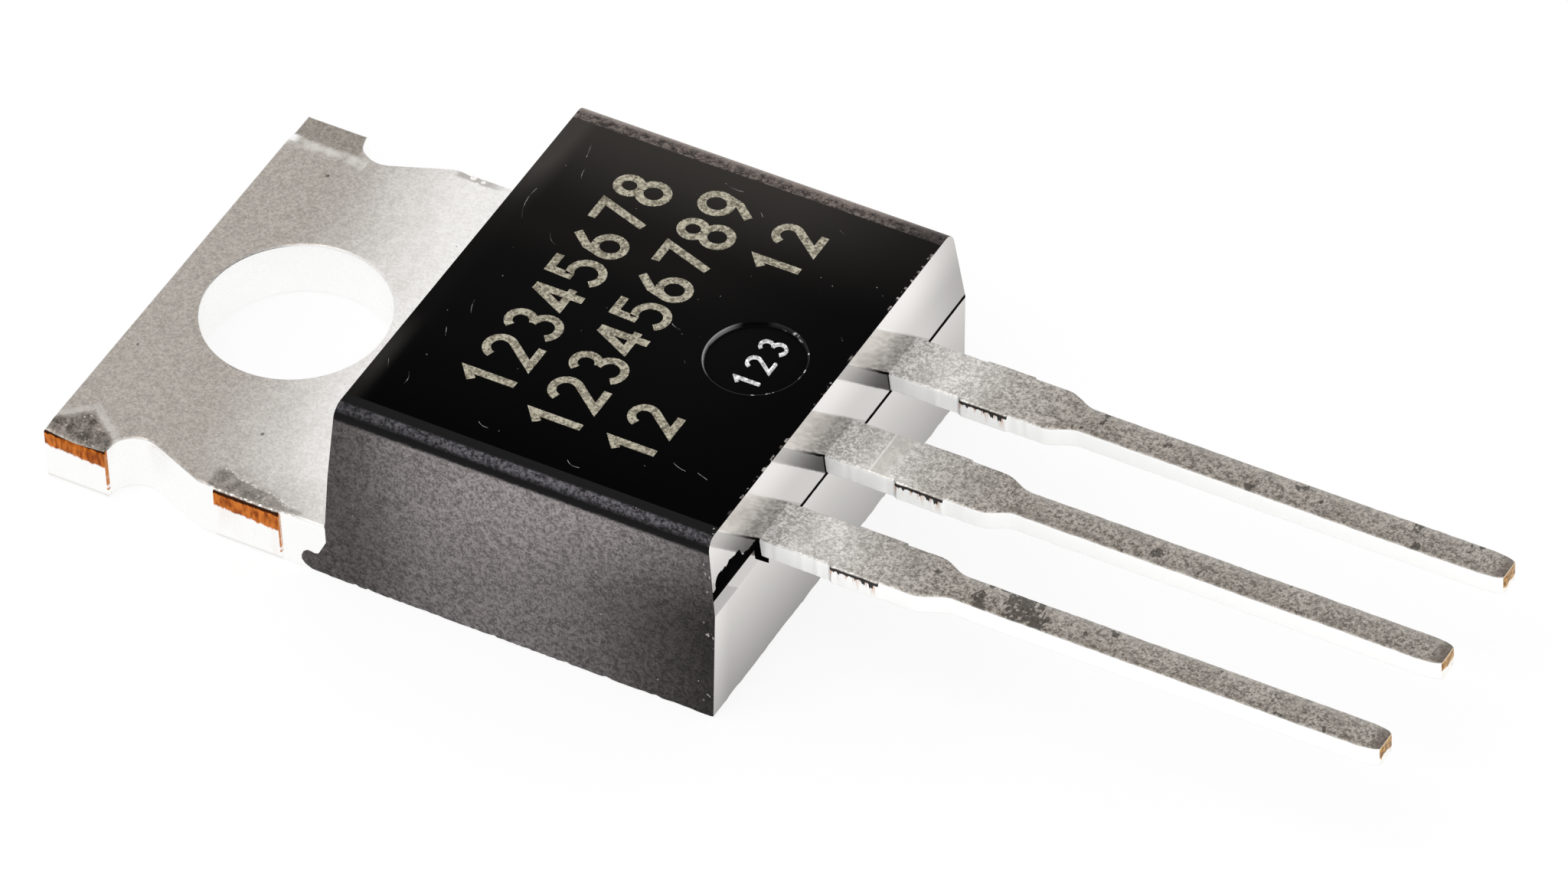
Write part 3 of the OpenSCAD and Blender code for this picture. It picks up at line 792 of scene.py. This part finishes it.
def grained_epoxy():
    """Black epoxy off an eroded part of the mould: an even fine grain, with a brown-grey painted sheen
    of reflected light on the middle of the sides, a line of grains round the upper edge with a painted
    highlight and painted shade, and bright grains of filler."""
    epoxy = Finish("grained_epoxy", {"Specular IOR Level": 0.08, "IOR": 1.5})
    x, y, z = epoxy.x, epoxy.y, epoxy.z
    grain = epoxy.noise(9, 4, roughness=0.7)
    fine = epoxy.noise(22, 2)
    speckle = (grain * 0.55 + fine * 0.45).ramp(0.36, 0.64)
    upward = epoxy.facing("Z")
    dark = epoxy.mix(speckle, (14, 12, 12), (44, 40, 39))
    # A painted sheen of reflected light on the middle of the sides, darker towards the bottom and the ends.
    side_sheen = epoxy.mix(speckle, (94, 88, 89), (158, 151, 152))
    rise = z.ramp(2.2, 4.2)
    from_middle = abs(x - 7.4 - rise * 0.9 + epoxy.noise(0.8, 2) * 0.6)
    middle = (from_middle * (1 - rise * 0.22)).fall(0, 5.6)
    tone = epoxy.mix(middle * (z.ramp(0.5, 5.0) * 0.44 + 0.66), dark, side_sheen)
    dull = epoxy.mix(speckle, (50, 46, 46), (92, 87, 87))
    # On the near rounded upper edge: a painted highlight along the middle of the curve, with painted shade
    # on either side of it, strongest in the middle of the length.
    slope_shading = upward.ramp(0.44, 0.88) * upward.fall(0.965, 1)
    faint = 0.55 + x.ramp(4, 7.5) * 0.4 - x.ramp(10.5, 12) * 0.3
    speck = epoxy.noise(12, 3, roughness=0.8).ramp(0.36, 0.68)
    near_band = epoxy.mix(speck, (28, 27, 29), (112, 109, 114))
    near_band = epoxy.mix(slope_shading * faint, (13, 12, 13), near_band)
    far_band = epoxy.mix(speck, (46, 41, 39), (120, 110, 105))
    # On the far side the rounded edge gets a painted reflection along its rim, and is darker towards the
    # lead end.
    far_rim_reflection, far_end = y.ramp(4.5, 4.7) * 0.6, x.ramp(10, 12.2) * 0.7
    far_band = epoxy.layers(far_band, (far_rim_reflection, (172, 160, 154)), (far_end, (18, 17, 17)))
    band = epoxy.mix(y < 0, far_band, near_band)
    shoulder = (z + (grain - 0.5) * 0.12).ramp(body_top - 0.35, body_top - 0.26)
    corner = (x > body_end - 0.26) * 0.1
    filler = (epoxy.noise(10, 1) + corner > 0.81) * 0.6
    tab_side = x.fall(3.5, 5.5)
    color = epoxy.layers(tone, (tab_side, dull), (shoulder, band), (filler, (190, 186, 184)))
    rough = 0.5 + (grain - 0.5) * 0.3
    return epoxy.finish(color, rough, None, grain * 0.6 + fine * 0.4, 0.6, 0.014)


def end_epoxy():
    """The polished ends, which mirror what they face once they are seen at a slant. Less of it shows
    towards the table and the far side, as painted shade in the reflection, and in a painted reflection
    of each lead's near side beside its root. Where each lead's top is reflected the mirror is painted
    darker low down and lighter higher up, and none of it shows on a painted dark line along each
    lead's reflection, on a painted shadow under the near lead's root, on the black line of the
    parting, and on the torn flash beside it."""
    epoxy = Finish("end_epoxy", {"Specular IOR Level": 0.0, "IOR": 1.5, "Roughness": 0.12})
    flow = epoxy.noise(0.8, 3)
    color = epoxy.mix(flow.ramp(0.35, 0.7), (5, 4, 4), (12, 11, 11))
    epoxy.finish(color, 0.1 + flow * 0.06, None, epoxy.noise(3, 2), 0.04, 0.01)
    mirror = epoxy.add("BsdfGlossy", {"Color": srgb(251, 248, 245), "Roughness": 0.12})
    slant = epoxy.add("LayerWeight", {"Blend": 0.5}, "Facing").ramp(0.4, 0.6)
    x, y, z = epoxy.x, epoxy.y, epoxy.z
    upper = z > parting_z
    # How much of the mirror shows: painted less towards the table and the far side, as shade in the
    # reflection.
    clear = upper * (0.72 + z.ramp(3.3, 4.4) * 0.25) + (1 - upper) * (0.36 + z * 0.148)
    clear = clear * (1 - y.ramp(2.8, 5.2) * (upper * 0.27 + 0.08))
    clear = clear + (1 - upper) * (y.fall(-4.95, -4.3) + y.ramp(-1.6, 1.0) * (1 - z * 0.4)) * 0.1
    wobble = (epoxy.noise(7, 3) - 0.5) * 0.05
    slide = y + z - lead_top + wobble
    from_lead = slide.every(pitch)
    root = shoulder_w / 2
    roots_end = 3.2
    at_roots = upper * (slide < roots_end)
    lead_side = x > body_end - 1
    # A painted reflection of each lead's near side: a slanting band beside its root where less of the mirror
    # shows, fading higher up, edged by a painted dark line.
    band = abs(from_lead + root + lead_t / 2).ramp(lead_t / 2 - 0.03, lead_t / 2 + 0.02)
    side_reflection = (1 - band) * at_roots
    thin = 0.8 - z.ramp(2.9, 4.7) * 0.58
    line = (from_lead + root).line(0.02, 0.05) * at_roots * z.fall(3.3, 4.3)
    beside_lead = (y.every(pitch) + root + 0.02).line(0.02, 0.04)
    crevice = beside_lead * upper * (z < lead_top) * (y < roots_end)
    parting = (z - parting_z - 0.01 + wobble * 0.5).line(0.035, 0.06) * (y > -roots_end)
    ragged = (epoxy.noise(4, 4, (1, 1, 0.4), 0.7) - 0.5) * 0.3
    wide = (y + ragged * 0.3 + 4.74).ramp(-0.06, 0.04) * (y + 3.78).fall(-0.06, 0.06)
    flash = (z > 3.06) * (z < 3.24 + wide * 0.26 + ragged) * (y < -3.16)
    # A painted shadow under the near lead's root.
    shadow_wedge = (z + y * 1.11 > -0.87) * (y > -3.35) * (y < -2.85) * (z < 3.1)
    black = (line + crevice + parting + flash + shadow_wedge).math("MINIMUM", 1) * lead_side
    # Where each lead's top is reflected, the mirror is painted darker low down and lighter higher up.
    image = (abs(from_lead) < root) * at_roots
    clear = clear * (1 - image * (0.22 - z.ramp(3.3, 4.1) * 0.32))
    clear = clear * (1 - side_reflection * thin * lead_side) * (1 - black)
    epoxy.cover(slant * clear, mirror)
    return epoxy.material


for material in (polished_epoxy(), grained_epoxy(), end_epoxy()):
    moulding.data.materials.append(material)
polygons = moulding.data.polygons
normals, centres = np.zeros((2, len(polygons), 3))
polygons.foreach_get("normal", normals.ravel())
polygons.foreach_get("center", centres.ravel())
on_face = (normals[:, 2] > 0.97) & (np.abs(centres[:, 1]) < polish_y * MM)
finish_of = np.where(np.abs(normals[:, 0]) > 0.8, ends, np.where(on_face, polished, grained))
from_recess = np.hypot(centres[:, 0] - recess_x * MM, centres[:, 1])
in_recess = (from_recess < recess_half * MM) & (centres[:, 2] > (body_top - 2 * recess_depth) * MM)
finish_of[in_recess] = polished
polygons.foreach_set("material_index", finish_of.astype(np.int32))
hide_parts("moulded_body")
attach(moulding, "root")


# Feet: compound that ran along the tab's lower corners and set there, with a round nose and a
# fillet up to the tab-side face. They are part of the moulding.

foot_edge = np.array([
    [3.57, 0.012], [3.3, 0.012], [3.2, 0.02], [3.05, 0.1], [2.98, 0.2], [2.98, 0.3], [3.03, 0.42],
    [3.12, 0.49], [3.2, 0.485], [3.27, 0.465], [3.36, 0.49], [3.41, 0.55], [3.48, 0.7], [3.57, 0.88],
    [3.75, 0.88], [3.75, 0.012],
])
foot_in_y, foot_out_y = 4.5, 4.975
foot_rows = (
    (foot_in_y, 0), (foot_in_y, 1), (foot_out_y - 0.03, 1), (foot_out_y - 0.008, 0.975),
    (foot_out_y, 0.93), (foot_out_y, 0),
)


def foot(side):
    """The side outline swept across, drawn in a little at the outer face to round its edge."""
    centre = foot_edge.mean(0)
    rows = []
    for y, share in foot_rows:
        ring = centre + (foot_edge - centre) * max(share, 1e-6)
        rows.append(np.column_stack([ring[:, 0], np.full(len(ring), side * y), ring[:, 1]]))
    return np.concatenate(rows)


foot_faces = tube_faces(len(foot_rows), len(foot_edge))
foot_faces = np.concatenate([foot_faces, foot_faces + len(foot_rows) * len(foot_edge)])
feet = build("feet", np.concatenate([foot(-1), foot(1)]), foot_faces, 50)
feet.data.materials.append(moulding.data.materials[grained])
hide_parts("moulded_body")
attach(feet, "root")


# Marks: pale granular strokes that a laser burnt into the marked face. They only count: plain
# figures in rows, as a stand-in for a print. Raised figures in the recess count the cavity.

stroke_w = 0.17
cross_lift = 0.0006


def strokes(name, paths, width, bottom, top, bevelled=0.0):
    """One mesh of flat strokes along paths in plan, mitred at their bends, and drawn in at
    the top if they are bevelled. Their heights differ a little where they cross."""
    all_points, all_faces, offset = [], [], 0
    for number, path in enumerate(paths):
        path = np.array(path, float)
        heading = np.diff(path, axis=0)
        normal = np.stack([-heading[:, 1], heading[:, 0]], 1) / np.linalg.norm(heading, axis=1)[:, None]
        before, after = np.vstack([normal[:1], normal]), np.vstack([normal, normal[-1:]])
        mitre = (before + after) / (1 + (before * after).sum(1))[:, None]
        lift = cross_lift * (number % 4)
        base, crest = mitre * width / 2, mitre * (width / 2 - bevelled)
        rings = capped(np.stack([
            header_row(path - base, bottom - lift), header_row(path - crest, top + lift),
            header_row(path + crest, top + lift), header_row(path + base, bottom - lift),
        ], 1))
        all_points.append(rings.reshape(-1, 3))
        all_faces.append(tube_faces(*rings.shape[:2]) + offset)
        offset += len(all_points[-1])
    return build(name, np.concatenate(all_points), np.concatenate(all_faces), 30)


def bow(centre_u, centre_v, radius_u, radius_v, start, end):
    """Points along part of an ellipse, between two angles in degrees."""
    turn = np.radians(np.linspace(start, end, int(abs(end - start) / 18) + 2))
    return list(zip(centre_u + radius_u * np.cos(turn), centre_v + radius_v * np.sin(turn)))


# The strokes of each figure, in a cell one unit high and half a unit wide.
FIGURES = {
    "1": [[(0.08, 0.8), (0.29, 0.98), (0.29, 0)]],
    "2": [bow(0.25, 0.74, 0.25, 0.26, 165, -35) + [(0.02, 0.02), (0.52, 0.02)]],
    "3": [bow(0.23, 0.76, 0.22, 0.24, 150, -80), bow(0.23, 0.27, 0.27, 0.27, 85, -150)],
    "4": [[(0.37, 0), (0.37, 1)], [(0.35, 0.98), (0.02, 0.3), (0.54, 0.3)]],
    "5": [[(0.47, 0.98), (0.07, 0.98), (0.05, 0.58)] + bow(0.23, 0.31, 0.28, 0.31, 120, -145)],
    "6": [bow(0.25, 0.28, 0.25, 0.28, 90, 450), [(0.01, 0.34), (0.1, 0.68), (0.36, 1)]],
    "7": [[(0, 0.98), (0.5, 0.98), (0.18, 0)]],
    "8": [bow(0.25, 0.77, 0.21, 0.23, -90, 270), bow(0.25, 0.27, 0.25, 0.27, 90, 450)],
    "9": [bow(0.25, 0.72, 0.25, 0.28, 90, 450), [(0.49, 0.66), (0.4, 0.32), (0.14, 0)]],
}


def count_row(last, foot_x, left_y, height, step):
    """Figures from 1 to the last one, which read along +Y and stand up towards -X."""
    paths = []
    for place in range(last):
        for path in FIGURES[str(place + 1)]:
            paths.append([(foot_x - v * height, left_y + place * step + u * height) for u, v in path])
    return paths


rows = count_row(last=8, foot_x=6.68, left_y=-3.02, height=1.06, step=0.84)
rows += count_row(last=9, foot_x=8.38, left_y=-3.47, height=1.06, step=0.83)
for left_y in (-3.42, 2.2):
    rows += count_row(last=2, foot_x=9.98, left_y=left_y, height=0.94, step=0.84)
low, high = body_top - 0.004, body_top + 0.003
marks = strokes("laser_marks", rows, stroke_w, low, high)


def laser_ash():
    """Burnt epoxy: a pale tan ash of grains, with the black showing between them."""
    ash = Finish("laser_ash", {"Roughness": 0.9, "Specular IOR Level": 0.2})
    grain = ash.noise(16, 3, roughness=0.7)
    tone = ash.mix(grain.ramp(0.38, 0.62), (104, 98, 84), (182, 176, 158))
    pit = (ash.noise(13, 2) < 0.36) * 0.6
    color = ash.mix(pit, tone, (54, 49, 43))
    return ash.finish(color, 0.85 + (grain - 0.5) * 0.2, None, grain, 0.5, 0.01)


marks.data.materials.append(laser_ash())
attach(marks, "root")


def raised_epoxy():
    """Epoxy of the raised figures, painted pale as a highlight: polished crests a little greyer, and
    near white flanks that catch the light.
    """
    epoxy = Finish("raised_epoxy", {"Specular IOR Level": 0.3})
    upward = epoxy.facing("Z", "True Normal")
    speckle = epoxy.noise(14, 3)
    # Painted highlight: the raised figures are painted pale, the flanks near white and the crests greyer.
    flank = epoxy.mix(speckle.ramp(0.35, 0.55), (206, 206, 208), (254, 254, 254))
    crest = epoxy.mix(speckle.ramp(0.4, 0.6), (150, 149, 151), (248, 248, 248))
    color = epoxy.mix(upward.ramp(0.8, 0.95), flank, crest)
    return epoxy.finish(color, 0.3 + speckle * 0.2, None, speckle, 0.2, 0.01)


recess_floor = body_top - recess_depth
cavity_w, cavity_rise, cavity_bevel = 0.085, 0.045, 0.02
rows = count_row(last=3, foot_x=10.78, left_y=-0.7, height=0.54, step=0.52)
low, high = recess_floor - 0.01, recess_floor + cavity_rise
cavity = strokes("cavity_numbers", rows, cavity_w, low, high, cavity_bevel)
cavity.data.materials.append(raised_epoxy())
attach(cavity, "root")


# Scratches: hair-thin scuffs and fibres of dust on the marked face, from handling. Each has
# its two ends and a sag, by which it bows aside as a parabola.

scratch_w, scratch_bevel = 0.014, 0.004
scuffs = []
for from_x, from_y, to_x, to_y, sag in (
    (4.3, 2.25, 4.46, 1.4, 0.08), (4.62, 3.85, 4.72, 3.45, 0.0), (4.86, 3.2, 4.95, 2.85, 0.03),
    (5.16, 1.28, 5.42, 1.02, 0.04), (4.15, -3.15, 4.25, -3.35, 0.0), (4.68, -3.3, 4.76, -3.62, -0.04),
    (4.8, -1.0, 4.92, -1.35, 0.02), (4.7, -1.9, 4.8, -2.12, 0.0), (7.48, 4.02, 7.92, 3.96, 0.04),
    (8.5, 0.12, 8.72, 0.04, 0.02), (8.58, -4.04, 8.88, -4.12, 0.05), (9.2, -0.66, 9.26, -0.72, 0.0),
    (11.56, 1.24, 11.64, 1.16, 0.0), (6.55, -3.88, 6.8, -3.96, 0.03), (10.4, -3.2, 10.72, -3.3, 0.02),
    (10.95, -3.24, 11.2, -3.32, 0.0), (10.1, 3.84, 10.24, 3.78, 0.0), (8.5, 3.6, 8.6, 3.5, 0.0),
):
    start, end = np.array([from_x, from_y]), np.array([to_x, to_y])
    share = np.linspace(0, 1, 7)[:, None]
    aside = np.array([end[1] - start[1], start[0] - end[0]]) / np.linalg.norm(end - start)
    scuffs.append(start + (end - start) * share + aside * sag * 4 * share * (1 - share))
low, high = body_top - 0.003, body_top + 0.001
scratches = strokes("scratches", scuffs, scratch_w, low, high, scratch_bevel)


def scuffed_epoxy():
    """Epoxy rubbed pale, more in some places than in others."""
    epoxy = Finish("scuffed_epoxy", {"Specular IOR Level": 0.3})
    worn = epoxy.noise(5, 3)
    color = epoxy.mix(worn.ramp(0.42, 0.66), (40, 39, 40), (168, 166, 165))
    return epoxy.finish(color, 0.5 + (worn - 0.5) * 0.3)


scratches.data.materials.append(scuffed_epoxy())
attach(scratches, "root")


# Stand-in for the table: a plain white floor, which keeps the object's soft shadow, with one
# large soft lamp above and a pale room that is dimmer overhead.

floor_half, floor_z = 600, -0.02
floor_glow = 0.88
corners = [[x * floor_half, y * floor_half, floor_z] for x, y in ((-1, -1), (1, -1), (1, 1), (-1, 1))]
floor = build("floor", corners, [[0, 1, 2, 3]])
paper = Finish("white_floor", {"Roughness": 0.9, "Specular IOR Level": 0})
fibre = paper.noise(0.3, 2)
paper.finish(paper.mix(fibre, (0.94, 0.94, 0.94, 1), (0.97, 0.97, 0.97, 1)))
seen = paper.add("LightPath", {}, "Is Camera Ray")
for ray in ("Is Glossy Ray", "Is Transmission Ray"):
    seen = seen.math("MAXIMUM", paper.add("LightPath", {}, ray))
glow = paper.add("Emission", {"Color": (1, 1, 1, 1), "Strength": 1.0})
paper.cover(seen * floor_glow, glow)
floor.data.materials.append(paper.material)

world = bpy.data.worlds.new("studio")
bpy.context.scene.world = world
world.use_nodes = True
sky = world.node_tree
sky.nodes.clear()
kinds = ("TexCoord", "SeparateXYZ", "ValToRGB", "Background", "OutputWorld")
direction, parts, fade, background, world_out = (sky.nodes.new("ShaderNode" + kind) for kind in kinds)
fade.color_ramp.elements[0].color = (1, 1, 1, 1)
fade.color_ramp.elements[1].color = (0.8, 0.8, 0.8, 1)
for place, level in ((0.2, 0.95), (0.45, 0.92), (0.8, 0.9)):
    fade.color_ramp.elements.new(place).color = (level, level, level, 1)
sky.links.new(direction.outputs["Generated"], parts.inputs[0])
sky.links.new(parts.outputs["Z"], fade.inputs[0])
sky.links.new(fade.outputs["Color"], background.inputs["Color"])
sky.links.new(background.outputs[0], world_out.inputs["Surface"])


def stand(name, data, right, up, place):
    """Adds a lamp or camera at a place in millimetres, from its own directions to the right
    and up. It looks the other way from their cross product."""
    thing = bpy.data.objects.new(name, data)
    bpy.context.scene.collection.objects.link(thing)
    matrix = np.eye(4)
    matrix[:3, :3] = np.column_stack([right, up, np.cross(right, up)])
    matrix[:3, 3] = np.array(place) * MM
    thing.matrix_world = Matrix(matrix.tolist())
    return thing


lamp_place = np.array([-60, -160, 420])
lamp_target = np.array([11, 0, 0])
lamp_size = 260
lamp_data = bpy.data.lights.new("soft_lamp", "AREA")
lamp_data.shape = "SQUARE"
lamp_data.size = lamp_size * MM
lamp_data.energy = 0.55
lamp_back = (lamp_place - lamp_target) / np.linalg.norm(lamp_place - lamp_target)
lamp_right = np.cross([0, 1, 0], lamp_back)
lamp_right /= np.linalg.norm(lamp_right)
stand("soft_lamp", lamp_data, lamp_right, np.cross(lamp_back, lamp_right), lamp_place)


# Camera: from above the near side's lead end, with the long lens that the leads' near-parallel
# edges call for.

focal_px = 16784.0
photo_px = 2048
camera_place = (102.391, -151.54, 172.204)
view_right = np.array([0.87356, 0.48526, -0.03752])
view_down = np.array([0.31264, -0.61856, -0.72086])
camera_data = bpy.data.cameras.new("camera")
camera_data.sensor_width = 36
camera_data.lens = focal_px / photo_px * camera_data.sensor_width
camera_data.clip_start = 0.001
camera_data.clip_end = 10
bpy.context.scene.camera = stand("camera", camera_data, view_right, -view_down, camera_place)
bpy.context.scene.view_settings.view_transform = "Standard"
